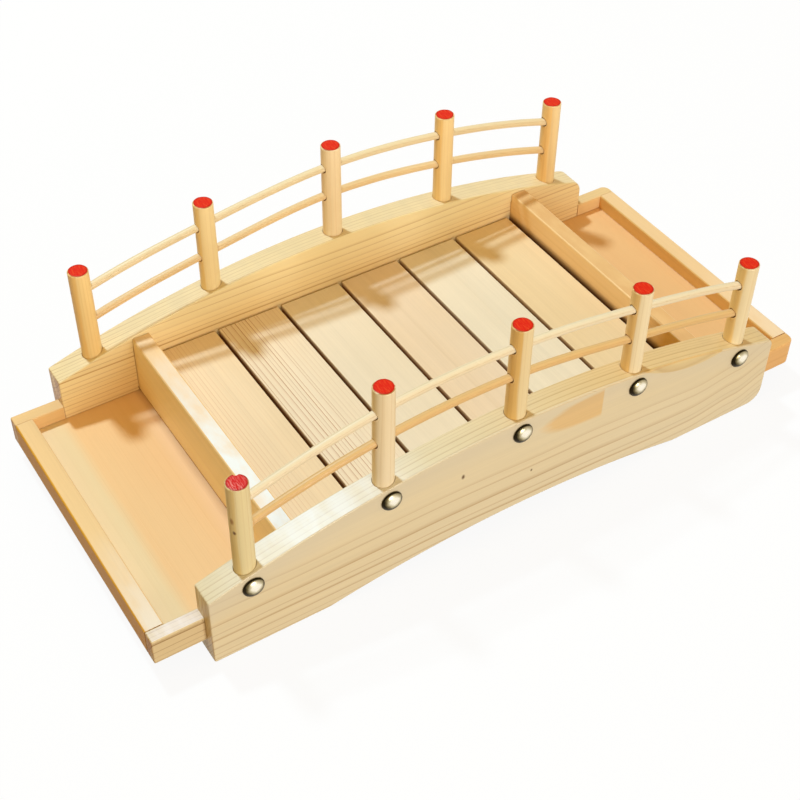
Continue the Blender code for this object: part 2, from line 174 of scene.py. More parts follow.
# Growth rings round an axis along X, cut by whatever shape the piece has
def makePineGroup():
    group, given, out = startGroup(
        "pineGrain",
        {"Vector": ["Vector"], "Color": ["Early", "Late", "Warm"],
         "Float": ["Ring Spacing", "Ring Warp", "Ring Contrast", "Warm Amount", "Fibre Amount",
                   "Streak Amount", "Seed"]},
        {"Color": ["Color"], "Float": ["Fibre", "Height"]})
    seed = given["Seed"]
    shifts = [times(group, seed, factor) for factor in grain["seedShifts"]]
    shift = addNode(group, "CombineXYZ", enumerate(shifts)).outputs[0]

    def cloud(part, *quality, colour=False):
        along, across = grain[part]
        squeezed = vectorNode(group, "MULTIPLY_ADD", given["Vector"], (along, across, across), shift)
        return noiseNode(group, squeezed, *quality, colour=colour)

    bend = vectorNode(group, "SUBTRACT", cloud("bend", colour=True), (0.5, 0.5, 0.5))
    bend = scaleNode(group, stretch(group, bend, grain["across"]), given["Ring Warp"])
    bent = vectorNode(group, "ADD", given["Vector"], bend)
    radius = vectorNode(group, "LENGTH", stretch(group, bent, grain["across"]))
    rings = sumNode(group, "DIVIDE", radius, given["Ring Spacing"])
    pace = timesPlus(group, rings, grain["unevenPace"], seed)
    uneven = addNode(group, "TexNoise", {"Scale": 1.0, "W": pace}, noise_dimensions="1D")
    count = sumNode(group, "ADD", rings, timesPlus(group, uneven.outputs[0], *grain["uneven"]))
    late = rampNode(group, sumNode(group, "FRACT", count), grain["ring"])
    number = sumNode(group, "ADD", sumNode(group, "FLOOR", count), seed)  # each ring has its own strength
    each = addNode(group, "TexWhiteNoise", {"W": number}, noise_dimensions="1D")
    late = times(group, late, rangeNode(group, each.outputs["Value"], *grain["ringStrength"]),
                 rangeNode(group, cloud("fade"), *grain["fadeSteps"]))

    fibre, streak = cloud("fibre", 3.0, 0.65), cloud("streak")
    warmth = times(group, rangeNode(group, cloud("patch"), *grain["warmSteps"]), given["Warm Amount"])
    wood = mixNode(group, warmth, given["Early"], given["Warm"])
    wood = mixNode(group, times(group, late, given["Ring Contrast"]), wood, given["Late"])
    tone = times(group, minus(group, fibre, 0.5), given["Fibre Amount"])
    tone = timesPlus(group, minus(group, streak, 0.5), given["Streak Amount"], tone)
    group.links.new(scaleNode(group, wood, sumNode(group, "ADD", tone, 1.0)), out["Color"])
    group.links.new(fibre, out["Fibre"])
    group.links.new(timesPlus(group, late, grain["ringHeight"], fibre), out["Height"])
    return group


endLook = dict(squeeze=(90.0, 480.0, 45.0), facing=(0.6, 0.95, 0.0, 1.0), streaky=(0.36, 0.64, 0.1, 2.1))


# Cut ends of the fibres soak up more and look browner
def makeEndGroup():
    group, given, out = startGroup(
        "endGrain",
        {"Color": ["Color", "Stain"], "Vector": ["Vector", "Normal", "Along"], "Float": ["Amount"]},
        {"Color": ["Color"]})
    streak = noiseNode(group, stretch(group, given["Vector"], endLook["squeeze"]), 3.0)
    facing = sumNode(group, "ABSOLUTE", vectorNode(group, "DOT_PRODUCT", given["Normal"], given["Along"]))
    mask = times(group, rangeNode(group, facing, *endLook["facing"]), given["Amount"])
    mask = times(group, mask, rangeNode(group, streak, *endLook["streaky"]), clamp=True)
    group.links.new(mixNode(group, mask, given["Color"], given["Stain"], "MULTIPLY"), out["Color"])
    return group


edgeLook = dict(
    samples=4, pale=(250, 232, 200), squeeze=(60.0, 260.0, 260.0), turned=(0.004, 0.12, 0.0, 1.0),
    patchy=(0.35, 0.7, 0.45, 1.0),
)


# Sanded arrises are a little paler and drier than the faces
def makeEdgeGroup():
    group, given, out = startGroup(
        "sandedEdge", {"Color": ["Color"], "Vector": ["Vector"], "Float": ["Width", "Amount"]},
        {"Color": ["Color"]})
    bevel = addNode(group, "Bevel", {"Radius": given["Width"]}, samples=edgeLook["samples"]).outputs[0]
    turn = vectorNode(group, "DOT_PRODUCT", bevel, addNode(group, "NewGeometry").outputs["Normal"])
    rough = noiseNode(group, stretch(group, given["Vector"], edgeLook["squeeze"]), 3.0)
    mask = rangeNode(group, minus(group, 1.0, turn), *edgeLook["turned"])
    mask = times(group, mask, rangeNode(group, rough, *edgeLook["patchy"]), given["Amount"])
    group.links.new(mixNode(group, mask, given["Color"], toLinear(edgeLook["pale"])), out["Color"])
    return group


pineGroup = makePineGroup()
endGroup = makeEndGroup()
edgeGroup = makeEdgeGroup()
print("node groups made")

plainPine = dict(
    along="x", centre=(0.02, 0.06), spacing=0.0035, warp=0.004, contrast=0.4, contrastAcross=None,
    early=(240, 218, 174), late=(204, 168, 110), warm=(241, 204, 150), warmAmount=0.3, fibre=0.12,
    streak=0.14, seed=0.0, sag=None, bent=False, endStain=(190, 150, 92), endAmount=0.6, edgeWidth=0.0012,
    edgeAmount=0.3, roughness=0.42, glossier=0.06, duller=0.08, specular=0.25, coat=0.1, coatRoughness=0.3,
    # the last three settings are the painted top lighting: its amount, where it fades along axes, and its
    # colour
    bump=0.12, bumpDepth=0.0004, paleTop=0.0, topLightingAlong=(), topLightingColour=(245, 239, 234),
)
topLightingLook = dict(squeeze=(90.0, 40.0, 90.0), level=(0.93, 0.99), cloudy=(0.35, 0.6, 0.5, 1.0))
speckCore = 0.35  # share of a speck that has its full tint
grainTurns = dict(x=(0.0, 0.0, 0.0), y=(0.0, 0.0, -pi / 2), z=(0.0, pi / 2, 0.0))
grainAxes = dict(x=(1.0, 0.0, 0.0), y=(0.0, 1.0, 0.0), z=(0.0, 0.0, 1.0))


# A value that changes along an axis: the axis, where the change starts and ends, and the value at each
def alongAxis(tree, place, change):
    axis, *steps = change
    return rangeNode(tree, splitNode(tree, place)[axis], *steps)


# Painted top lighting: an upper face is mixed towards a given colour in clouds, a painted highlight where
# that colour is paler and painted shade where it is darker
def paleTop(tree, place, colour, look):
    up = vectorNode(tree, "DOT_PRODUCT", place["Normal"], (0.0, 0.0, 1.0))
    cloud = noiseNode(tree, stretch(tree, place["Object"], topLightingLook["squeeze"]), 3.0)
    mask = times(tree, rangeNode(tree, up, *topLightingLook["level"], 0.0, look["paleTop"]),
                 rangeNode(tree, cloud, *topLightingLook["cloudy"]))
    for change in look["topLightingAlong"]:
        mask = times(tree, mask, alongAxis(tree, place["Object"], change))
    return mixNode(tree, mask, colour, toLinear(look["topLightingColour"]))


# Distance from a point, counted in the given sizes
def reachFrom(tree, place, at, size):
    off = vectorNode(tree, "SUBTRACT", place, at)
    return vectorNode(tree, "LENGTH", stretch(tree, off, [1 / s for s in size]))


# Distance from a piece's own Z axis, or from a line beside it
def flatReach(tree, place, at=(0.0, 0.0, 0.0)):
    flat = stretch(tree, place, (1.0, 1.0, 0.0))
    return vectorNode(tree, "LENGTH", vectorNode(tree, "SUBTRACT", flat, at))


# Small knots and specks: place, size and tint of each
def speckMarks(specks):
    def mark(tree, place, colour):
        for at, size, tint in specks:
            mask = rangeNode(tree, reachFrom(tree, place, at, size), speckCore, 1.0, 1.0, 0.0)
            colour = tintNode(tree, mask, colour, tint)
        return colour
    return mark


# A tint that is full at one place along an axis and gone at another
def tintAlong(axis, full, gone, tint):
    def mark(tree, place, colour):
        return tintNode(tree, alongAxis(tree, place, (axis, full, gone, 1.0, 0.0)), colour, tint)
    return mark


# Grain that dips or climbs by the given heights at the given lengths
def saggingGrain(tree, straight, sag):
    start, end, most = sag[0][0], sag[-1][0], max(abs(rise) for _, rise in sag)
    stops = [((x - start) / (end - start), 0.5 + rise / most / 2) for x, rise in sag]
    curve = rampNode(tree, alongAxis(tree, straight, ("X", start, end, 0.0, 1.0)), stops, "EASE")
    lift = addNode(tree, "CombineXYZ", {"Z": rangeNode(tree, curve, 0.0, 1.0, -most, most)}).outputs[0]
    return vectorNode(tree, "SUBTRACT", straight, lift)


def pineMaterial(name, wood, marks=None):
    look = dict(plainPine, **wood)
    material, tree, shader = newMaterial(name)
    place = addNode(tree, "TexCoord").outputs
    straight = addNode(tree, "Mapping", {
        "Vector": place["UV" if look["bent"] else "Object"], "Rotation": grainTurns[look["along"]],
        "Location": (0.0, -look["centre"][0], -look["centre"][1])}).outputs[0]
    contrast = look["contrast"]
    if look["contrastAcross"]:
        contrast = alongAxis(tree, place["Object"], look["contrastAcross"])
    rings = placeGroup(tree, pineGroup, {
        "Vector": saggingGrain(tree, straight, look["sag"]) if look["sag"] else straight,
        "Early": toLinear(look["early"]), "Late": toLinear(look["late"]), "Warm": toLinear(look["warm"]),
        "Ring Spacing": look["spacing"], "Ring Warp": look["warp"], "Ring Contrast": contrast,
        "Warm Amount": look["warmAmount"], "Fibre Amount": look["fibre"], "Streak Amount": look["streak"],
        "Seed": look["seed"]})
    colour = rings["Color"]
    if marks:
        colour = marks(tree, place["Object"], colour)
    # painted top lighting, where the piece has any
    if look["paleTop"]:
        colour = paleTop(tree, place, colour, look)
    ends = placeGroup(tree, endGroup, {
        "Color": colour, "Vector": straight, "Normal": place["Normal"], "Along": grainAxes[look["along"]],
        "Stain": toLinear(look["endStain"]), "Amount": look["endAmount"]})
    edges = placeGroup(tree, edgeGroup, {
        "Color": ends["Color"], "Vector": straight, "Width": look["edgeWidth"], "Amount": look["edgeAmount"]})
    roughness = look["roughness"] - look["glossier"], look["roughness"] + look["duller"]
    fill(tree, shader, {
        "Base Color": edges["Color"], "Specular IOR Level": look["specular"],
        "Roughness": rangeNode(tree, rings["Fibre"], *grain["glossSteps"], *roughness),
        "Normal": bumpNode(tree, rings["Height"], look["bump"], look["bumpDepth"]),
        "Coat Weight": look["coat"], "Coat Roughness": look["coatRoughness"]})
    return material


# Mesh helpers

def pieceName(node):
    first, *others = node.split("_")
    return first + "".join(word.title() for word in others)


def middleOf(node):
    low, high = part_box(node)
    return (low + high) / 2


def addObject(name, data, place=(0.0, 0.0, 0.0)):
    made = bpy.data.objects.new(name, data)
    made.location = place
    scene.collection.objects.link(made)
    return made


def newObject(name, bm, place=(0.0, 0.0, 0.0)):
    bmesh.ops.recalc_face_normals(bm, faces=bm.faces)
    mesh = bpy.data.meshes.new(name)
    bm.to_mesh(mesh)
    bm.free()
    return addObject(name, mesh, place)


def addBox(bm, low, high):
    low, high = Vector(low), Vector(high)
    bmesh.ops.create_cube(
        bm, size=1.0, matrix=Matrix.Translation((low + high) / 2) @ Matrix.Diagonal((*(high - low), 1.0)))


def addRod(bm, start, end, radius, sides):
    start, end = Vector(start), Vector(end)
    turn = (end - start).to_track_quat("Z", "Y").to_matrix().to_4x4()
    bmesh.ops.create_cone(
        bm, cap_ends=True, segments=sides, radius1=radius, radius2=radius, depth=(end - start).length,
        matrix=Matrix.Translation((start + end) / 2) @ turn)


def lathe(profile, sides):
    bm = bmesh.new()
    points = [bm.verts.new((radius, 0.0, height)) for radius, height in profile]
    edges = [bm.edges.new(pair) for pair in zip(points, points[1:])]
    bmesh.ops.spin(bm, geom=points + edges, cent=(0, 0, 0), axis=(0, 0, 1), angle=tau, steps=sides,
                   use_merge=True)
    bmesh.ops.remove_doubles(bm, verts=bm.verts, dist=1e-7)
    return bm


# Skin between rings of points, closed at the first ring
def joinRings(bm, rings):
    sides = len(rings[0])
    for first, second in zip(rings, rings[1:]):
        for k in range(sides):
            n = (k + 1) % sides
            bm.faces.new((first[k], first[n], second[n], second[k]))
    bm.faces.new(rings[0])


def arcPoints(x, z, radius, start, end, steps):
    angles = [start + (end - start) * i / steps for i in range(steps + 1)]
    return [(x + radius * cos(a), z + radius * sin(a)) for a in angles]


def roundEdges(bm, edges, offset, steps, clamp=False):
    bmesh.ops.bevel(bm, geom=edges, offset=offset, segments=steps, profile=0.5, affect="EDGES",
                    clamp_overlap=clamp)


def cutAway(piece, cuts):
    cutters = [newObject("cutter", bm) for bm in cuts]
    for cutter in cutters:
        modifier = piece.modifiers.new("cut", "BOOLEAN")
        modifier.operation, modifier.solver, modifier.object = "DIFFERENCE", "EXACT", cutter
    graph = bpy.context.evaluated_depsgraph_get()
    mesh = bpy.data.meshes.new_from_object(piece.evaluated_get(graph))
    piece.modifiers.clear()
    old, piece.data = piece.data, mesh
    mesh.name = piece.name
    bpy.data.meshes.remove(old)
    for cutter in cutters:
        bpy.data.objects.remove(cutter)


def finishPiece(piece, material, nodes=(), sharp=35):
    piece.data.materials.append(material)
    piece.data.shade_smooth()
    piece.data.set_sharp_from_angle(angle=radians(sharp))
    level = piece.modifiers.new("flatFaces", "WEIGHTED_NORMAL")
    level.keep_sharp = True
    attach(piece, "root")
    if nodes:
        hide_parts(*nodes)


def finishPine(piece, node, wood, marks=None, sharp=35):
    finishPiece(piece, pineMaterial(piece.name + "Pine", wood, marks), [node], sharp)


board = dict(cell=0.014, cornerSteps=14, edgeSteps=4, sharpAngle=1.0, waves=14.0, onFace=1e-6, parallel=0.99)


# Boards: rounded by sanding, and a trace out of true. Joint ends stay square and close the glue gap
def sandedBoard(node, edge, wobble=0.00005, seed=0.0, joints=(), closing=0.0, corner=None):
    low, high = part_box(node)
    for axis, sign in joints:
        (high if sign > 0 else low)[axis] += sign * closing
    middle, size = (low + high) / 2, high - low
    bm = bmesh.new()
    addBox(bm, low - middle, high - middle)
    if corner:
        upright = [e for e in bm.edges
                   if all(v.co.x * corner[0] > 0 and v.co.y * corner[1] > 0 for v in e.verts)]
        roundEdges(bm, upright, corner[2], board["cornerSteps"])
    for axis in range(0 if corner else 3):
        cuts = int(size[axis] / board["cell"])
        lines = [e for e in bm.edges
                 if abs((e.verts[0].co - e.verts[1].co).normalized()[axis]) > board["parallel"]]
        if cuts:
            bmesh.ops.subdivide_edges(bm, edges=lines, cuts=cuts, use_grid_fill=True)
    atJoint = {e for e in bm.edges for axis, sign in joints
               if all(v.co[axis] * sign > size[axis] / 2 - board["onFace"] for v in e.verts)}
    arris = [e for e in bm.edges if e.calc_face_angle(0.0) > board["sharpAngle"] and e not in atJoint]
    roundEdges(bm, arris, edge, board["edgeSteps"], clamp=True)
    for vert in bm.verts:
        wave = noise.noise_vector(vert.co * board["waves"] + Vector((seed, 2 * seed, 3 * seed)))
        vert.co = [max(-s / 2, min(s / 2, c)) for c, s in zip(vert.co + wave * wobble, size)]
    return newObject(pieceName(node), bm, middle)


# Beams
beam = dict(
    halfLength=0.190, endHeight=0.0485, crownHeight=0.0785, thickness=0.016, middleY=0.095, archHalf=0.120,
    archRise=0.0108, squareCorner=0.0012, lowerCorner=0.010, nearCorner=0.004, farCorner=0.010, edge=0.0009,
    edgeSteps=4, sharpAngle=1.2, gap=0.0003, shoulder=0.006,
    steps=dict(arch=40, top=96, round=10, square=4),
    socket=dict(radius=0.0063, depth=0.022, above=0.02, sides=48),
    nailHole=dict(radius=0.0012, start=0.09, end=0.12, sides=16),
    scoop=dict(
        x=0.118, half=0.031, depth=0.0015, lean=12.0, width=0.02, sides=240, drop=0.0072, fade=0.0004,
        skin=0.0018, tint=(253, 245, 222)),
    patch=dict(
        at=(0.056, -0.008, 0.0645), size=(0.041, 1.0, 0.011), end=0.058, endFade=0.0008, ragged=0.45,
        rim=(0.98, 1.22), tint=(255, 232, 196)),
    greyed=dict(
        start=0.008, end=0.022, amount=0.55, colour=(220, 209, 187), ragged=0.006, onPlaned=0.35, skin=0.001),
    warmTop=dict(reach=(-0.06, 0.06), depth=(0.0006, 0.0016), tint=(255, 238, 210)),
    cloud=(24.0, 60.0, 170.0),
    nearSpecks=(
        ((-0.0358, -0.008, 0.0558), (0.0014, 0.002, 0.0022), (120, 96, 60)),
        ((0.0114, -0.008, 0.0349), (0.0009, 0.002, 0.0013), (120, 100, 70))),
    # painted shade towards the top of the far beam's inner face
    paintedTopShade=dict(end=0.03, amount=0.9, skin=0.0005, tint=(249, 254, 251)),
    farSpecks=(((-0.1419, -0.008, 0.0222), (0.0012, 0.003, 0.0012), (130, 90, 50)),),
    nearWood=dict(
        centre=(0.09, 0.068), spacing=0.0027, warp=0.002, contrastAcross=("Y", 0.0074, 0.0079, 0.8, 0.25),
        early=(231, 217, 185), late=(180, 142, 86), warm=(231, 207, 159), warmAmount=0.25, seed=3.1,
        # the near beam's top has a painted highlight, from near its first post towards its second
        roughness=0.38, coat=0.1, endStain=(222, 190, 108), endAmount=0.4, specular=0.3, paleTop=0.85,
        topLightingColour=(244, 247, 255),
        topLightingAlong=(("X", -0.12, -0.055, 1.0, 0.0), ("X", -0.178, -0.155, 0.2, 1.0)),
        sag=(
            (-0.19, 0.0), (-0.06, -0.001), (0.04, -0.0035), (0.13, -0.0065), (0.165, -0.002),
            (0.195, 0.007))),
    farWood=dict(
        centre=(0.042, 0.085), spacing=0.0021, warp=0.0015, contrast=0.9, early=(253, 231, 186),
        late=(188, 137, 62), warm=(252, 219, 156), warmAmount=0.4, seed=8.4, roughness=0.36, coat=0.25,
        # the far beam's top has painted shade, towards a duller cream
        paleTop=0.5, topLightingColour=(226, 206, 168)),
)
topRise = beam["crownHeight"] - beam["endHeight"]
topRadius = (beam["halfLength"] ** 2 + topRise ** 2) / (2 * topRise)
halfBeam = beam["thickness"] / 2


def beamTop(x):
    return beam["crownHeight"] - topRadius + sqrt(topRadius ** 2 - x ** 2)


def topCorner(radius):
    reach = beam["halfLength"] - radius
    lift = sqrt((topRadius - radius) ** 2 - reach ** 2)
    return reach, beam["crownHeight"] - topRadius + lift, atan2(lift, reach)


def beamOutline(rightCorner):
    quarter, half, steps = pi / 2, beam["halfLength"], beam["steps"]
    archRadius = (beam["archHalf"] ** 2 + beam["archRise"] ** 2) / (2 * beam["archRise"])
    spread = asin(beam["archHalf"] / archRadius)
    hollow = arcPoints(0.0, beam["archRise"] - archRadius, archRadius, quarter + spread, quarter - spread,
                       steps["arch"])
    low, square = beam["lowerCorner"], beam["squareCorner"]
    lowRight = arcPoints(half - low, low, low, -quarter, 0.0, steps["round"])
    x, z, angle = topCorner(rightCorner)
    topRight = arcPoints(x, z, rightCorner, 0.0, angle, steps["round"])
    leftX, leftZ, leftAngle = topCorner(square)
    top = arcPoints(0.0, beam["crownHeight"] - topRadius, topRadius, angle, pi - leftAngle, steps["top"])
    topLeft = arcPoints(-leftX, leftZ, square, pi - leftAngle, pi, steps["square"])
    lowLeft = arcPoints(square - half, square, square, pi, 1.5 * pi, steps["square"])
    return hollow + lowRight + topRight + top[1:-1] + topLeft + lowLeft


def depthBelowTop(tree, x, z):
    fall = sumNode(tree, "DIVIDE", times(tree, x, x), 2 * topRadius)
    return minus(tree, beam["crownHeight"], sumNode(tree, "ADD", fall, z))


# The face towards the viewer, and as much of its rounded edge as the skin is thick
def viewerFace(tree, y, skin):
    return sumNode(tree, "LESS_THAN", y, skin - halfBeam)


# Painted shade: the far beam's inner face is tinted a little darker and less red towards the top, evening out
# how the lamps light it
def farBeamMarks(tree, place, colour):
    paintedTopShade = beam["paintedTopShade"]
    x, y, z = splitNode(tree, place)
    mask = rangeNode(tree, depthBelowTop(tree, x, z), 0.0, paintedTopShade["end"], paintedTopShade["amount"], 0.0)
    mask = times(tree, mask, viewerFace(tree, y, paintedTopShade["skin"]))
    return speckMarks(beam["farSpecks"])(tree, place, tintNode(tree, mask, colour, paintedTopShade["tint"]))


# Plain greyed sapwood along the upper edge, one orange patch with a sharp end, a planed place and specks
def nearBeamMarks(tree, place, colour):
    patch, greyed, scoop, warmTop = beam["patch"], beam["greyed"], beam["scoop"], beam["warmTop"]
    x, y, z = splitNode(tree, place)
    cloud = noiseNode(tree, stretch(tree, place, beam["cloud"]), 3.0)
    depth = depthBelowTop(tree, x, z)
    upper = times(tree, rangeNode(tree, depth, *warmTop["depth"], 1.0, 0.0),
                  rangeNode(tree, x, *warmTop["reach"], 0.0, 1.0))
    colour = tintNode(tree, upper, colour, warmTop["tint"])

    share = sumNode(tree, "DIVIDE", minus(tree, x, scoop["x"]), scoop["half"])
    drop = timesPlus(tree, times(tree, share, share), -scoop["drop"], scoop["drop"])
    planed = rangeNode(tree, minus(tree, drop, depth), 0.0, scoop["fade"], 0.0, 1.0)
    plain = rangeNode(tree, timesPlus(tree, cloud, greyed["ragged"], depth), greyed["start"], greyed["end"],
                      greyed["amount"], 0.0)
    plain = times(tree, plain, rangeNode(tree, planed, 0.0, 1.0, 1.0, greyed["onPlaned"]))
    outer = viewerFace(tree, y, greyed["skin"])
    colour = mixNode(tree, times(tree, plain, outer), colour, toLinear(greyed["colour"]))

    reach = timesPlus(tree, cloud, patch["ragged"], reachFrom(tree, place, patch["at"], patch["size"]))
    ending = rangeNode(tree, x, patch["end"], patch["end"] + patch["endFade"], 1.0, 0.0)
    mask = times(tree, rangeNode(tree, reach, *patch["rim"], 1.0, 0.0), times(tree, ending, outer))
    colour = tintNode(tree, mask, colour, patch["tint"])
    colour = tintNode(tree, times(tree, planed, viewerFace(tree, y, scoop["skin"])), colour, scoop["tint"])
    return speckMarks(beam["nearSpecks"])(tree, place, colour)


# A shallow hand-planed facet on the outer top edge
def scoopCutter():
    scoop = beam["scoop"]
    slope = asin(scoop["x"] / topRadius)
    along = Vector((cos(slope), 0.0, -sin(slope)))
    lean = radians(scoop["lean"])
    out = Vector((0.0, -cos(lean), sin(lean)))
    out = (out - along * out.dot(along)).normalized()
    across = along.cross(out) * scoop["width"]
    radius = scoop["half"] ** 2 / (2 * scoop["depth"])
    edge = Vector((scoop["x"], -beam["middleY"] - halfBeam, beamTop(scoop["x"])))
    middle = edge + out * (radius - scoop["depth"])
    bm = bmesh.new()
    addRod(bm, middle - across, middle + across, radius, scoop["sides"])
    return bm


# The floor panel's place in beams and tray walls, with room for glue
def floorGroove():
    low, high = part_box("floor_panel")
    grow = Vector((beam["gap"],) * 3)
    bm = bmesh.new()
    addBox(bm, low - grow, high + grow)
    return bm


def addNailHole(bm, nailAt, side, start):
    hole = beam["nailHole"]
    ends = [(nailAt.x, side * y, nailAt.z) for y in (start, hole["end"])]
    addRod(bm, *ends, hole["radius"], hole["sides"])


def buildBeam(label, side, corner, wood, marks):
    node = label + "_beam"
    bm = bmesh.new()
    face = bm.faces.new([bm.verts.new((x, -halfBeam, z)) for x, z in beamOutline(corner)])
    grown = bmesh.ops.extrude_face_region(bm, geom=[face])["geom"]
    verts = [v for v in grown if isinstance(v, bmesh.types.BMVert)]
    bmesh.ops.translate(bm, vec=(0.0, 2 * halfBeam, 0.0), verts=verts)
    bmesh.ops.recalc_face_normals(bm, faces=bm.faces)
    arris = [e for e in bm.edges if e.calc_face_angle(0.0) > beam["sharpAngle"]]
    roundEdges(bm, arris, beam["edge"], beam["edgeSteps"])
    piece = newObject(pieceName(node), bm, (0.0, side * beam["middleY"], 0.0))

    sockets, nailHoles, dadoes = (bmesh.new() for _ in range(3))
    socket = beam["socket"]
    for number in range(1, 6):
        x, y, _ = middleOf(f"{label}_post_{number}")
        ends = [(x, y, beamTop(x) + off) for off in (-socket["depth"], socket["above"])]
        addRod(sockets, *ends, socket["radius"], socket["sides"])
        addNailHole(nailHoles, middleOf(f"{label}_nail_{number}"), side, beam["nailHole"]["start"])
    grow = Vector((beam["gap"],) * 3)
    for low, high in (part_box("left_divider"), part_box("right_divider")):
        addBox(dadoes, low - grow, (high.x + grow.x, high.y + grow.y, high.z - beam["shoulder"] + grow.z))
    cutAway(piece, [sockets, nailHoles, dadoes, floorGroove()] + ([scoopCutter()] if side < 0 else []))
    finishPine(piece, node, wood, marks)


buildBeam("near", -1, beam["nearCorner"], beam["nearWood"], nearBeamMarks)
buildBeam("far", 1, beam["farCorner"], beam["farWood"], farBeamMarks)
print("beams built")


# Rails: thin sticks bent through post holes that were drilled by eye
rail = dict(
    radius=0.00235, upperRise=0.048, lowerRise=0.0273, endDip=0.0035, seat=0.0085, postSpan=0.1645,
    postRadius=0.006, holeGap=0.0007, holeReach=0.01, sides=28, steps=120, slopeStep=0.001, blunted=0.35,
    unevenness=0.00008, waves=60, girthWaves=0.8, sideSeed=7, riseSeed=90,
    nearUpperLifts=(0.0024, 0.0036, 0.0006, -0.0032, -0.0026),
    nearLowerLifts=(0.0043, 0.0040, 0.0009, -0.0041, -0.0026),
    farUpperLifts=(0.0, -0.0022, 0.0006, 0.0005, 0.0005),
    farLowerLifts=(-0.0012, -0.0027, 0.0013, 0.0, -0.0006),
    wood=dict(
        centre=(0.03, 0.004), warp=0.0012, contrast=0.6, bent=True, endAmount=0.3, fibre=0.05, bump=0.03),
    paleWood=dict(spacing=0.0016, early=(241, 228, 200), late=(200, 164, 112), warmAmount=0.15),
    warmWood=dict(
        spacing=0.0014, early=(229, 194, 138), late=(180, 128, 68), warm=(224, 178, 112), warmAmount=0.5),
    farTones=(dict(early=(241, 223, 186)), dict(early=(241, 212, 164), warm=(236, 196, 138))),
)
railDrop = beam["crownHeight"] - beamTop(rail["postSpan"]) + rail["endDip"]
railRadius = (rail["postSpan"] ** 2 + railDrop ** 2) / (2 * railDrop)
railReach = rail["postSpan"] - rail["postRadius"] + rail["seat"]


# Height of a rail's axis: an even bend, and a smooth curve through the heights of its holes
def railLine(x, rise, lifts):
    last = len(lifts) - 1
    at = min(max((x + rail["postSpan"]) / (2 * rail["postSpan"]) * last, 0.0), last)
    first = min(int(at), last - 1)
    t = at - first
    before, start, end, after = (lifts[min(max(first + i, 0), last)] for i in (-1, 0, 1, 2))
    lift = start + (end - start) * (3 * t ** 2 - 2 * t ** 3)
    lift += (end - before) / 2 * t * (1 - t) ** 2 - (after - start) / 2 * t ** 2 * (1 - t)
    return beam["crownHeight"] + rise - railRadius + sqrt(railRadius ** 2 - x ** 2) + lift


def railsOf(label):
    return ((rail["upperRise"], rail[label + "UpperLifts"]), (rail["lowerRise"], rail[label + "LowerLifts"]))


def buildRail(node, side, rise, lifts, wood, slot):
    middle, steps, sides, beside = railLine(0.0, rise, lifts), rail["steps"], rail["sides"], rail["slopeStep"]
    bm = bmesh.new()
    rings = []
    for step in range(steps + 1):
        x = railReach * (2 * step / steps - 1)
        slope = atan2(railLine(x + beside, rise, lifts) - railLine(x - beside, rise, lifts), 2 * beside)
        axis = Vector((x, 0.0, railLine(x, rise, lifts) - middle))
        out, across = Vector((-sin(slope), 0.0, cos(slope))), Vector((0.0, 1.0, 0.0))
        dull = 1.0 - rail["blunted"] * max(0.0, 1 - min(step, steps - step) / 2) ** 2  # blunted ends
        ring = []
        for k in range(sides):
            turn = tau * k / sides + pi
            y, z = cos(turn) * rail["girthWaves"], sin(turn) * rail["girthWaves"]
            z += rail["sideSeed"] * side + rise * rail["riseSeed"]
            wave = noise.noise(Vector((x * rail["waves"], y, z)))
            r = (rail["radius"] + wave * rail["unevenness"]) * dull
            ring.append(bm.verts.new(axis + out * r * cos(turn) + across * r * sin(turn)))
        rings.append(ring)
    joinRings(bm, rings)
    bm.faces.new(rings[-1])
    unrolled = bm.loops.layers.uv.new("unrolled")  # length and girth, in metres, for the grain
    bm.verts.index_update()
    for face in bm.faces:
        girths = [loop.vert.index % sides for loop in face.loops]
        for loop, k in zip(face.loops, girths):
            if k == 0 and max(girths) == sides - 1 and len(girths) == 4:
                k = sides  # the seam runs along the underside
            loop[unrolled].uv = (loop.vert.co.x, tau * rail["radius"] * k / sides)
    piece = newObject(pieceName(node), bm, (0.0, side * beam["middleY"], middle))
    finishPine(piece, node, wood, sharp=50)


for label, side in bothSides:
    upper, lower = railsOf(label)
    paler, warmer = rail["farTones"] if label == "far" else ({}, {})
    pale = {**rail["wood"], **rail["paleWood"], "seed": 5.0 + side, **paler}
    warm = {**rail["wood"], **rail["warmWood"], "seed": 11.0 + side, **warmer}
    buildRail(label + "_upper_rail", side, *upper, pale, "rail_pale")
    buildRail(label + "_lower_rail", side, *lower, warm, "rail_warm")
print("rails built")


# Posts, their painted tops and the nails that pin them
post = dict(
    radius=0.006, footChamfer=0.0006, topRound=0.0004, roundSteps=5, sides=72, rings=26, paintDepth=0.00025,
    pilotFrom=0.0937, pith=(0.005, 0.006), pithTurn=2.4, seedStep=2.3,
    nearWood=dict(
        along="z", spacing=0.0021, warp=0.002, contrast=0.42, late=(200, 164, 104), warm=(236, 202, 140),
        warmAmount=0.35),
    farWood=dict(
        along="z", spacing=0.0021, warp=0.002, contrast=0.32, late=(214, 166, 96), warm=(250, 208, 138),
        warmAmount=0.4),
)
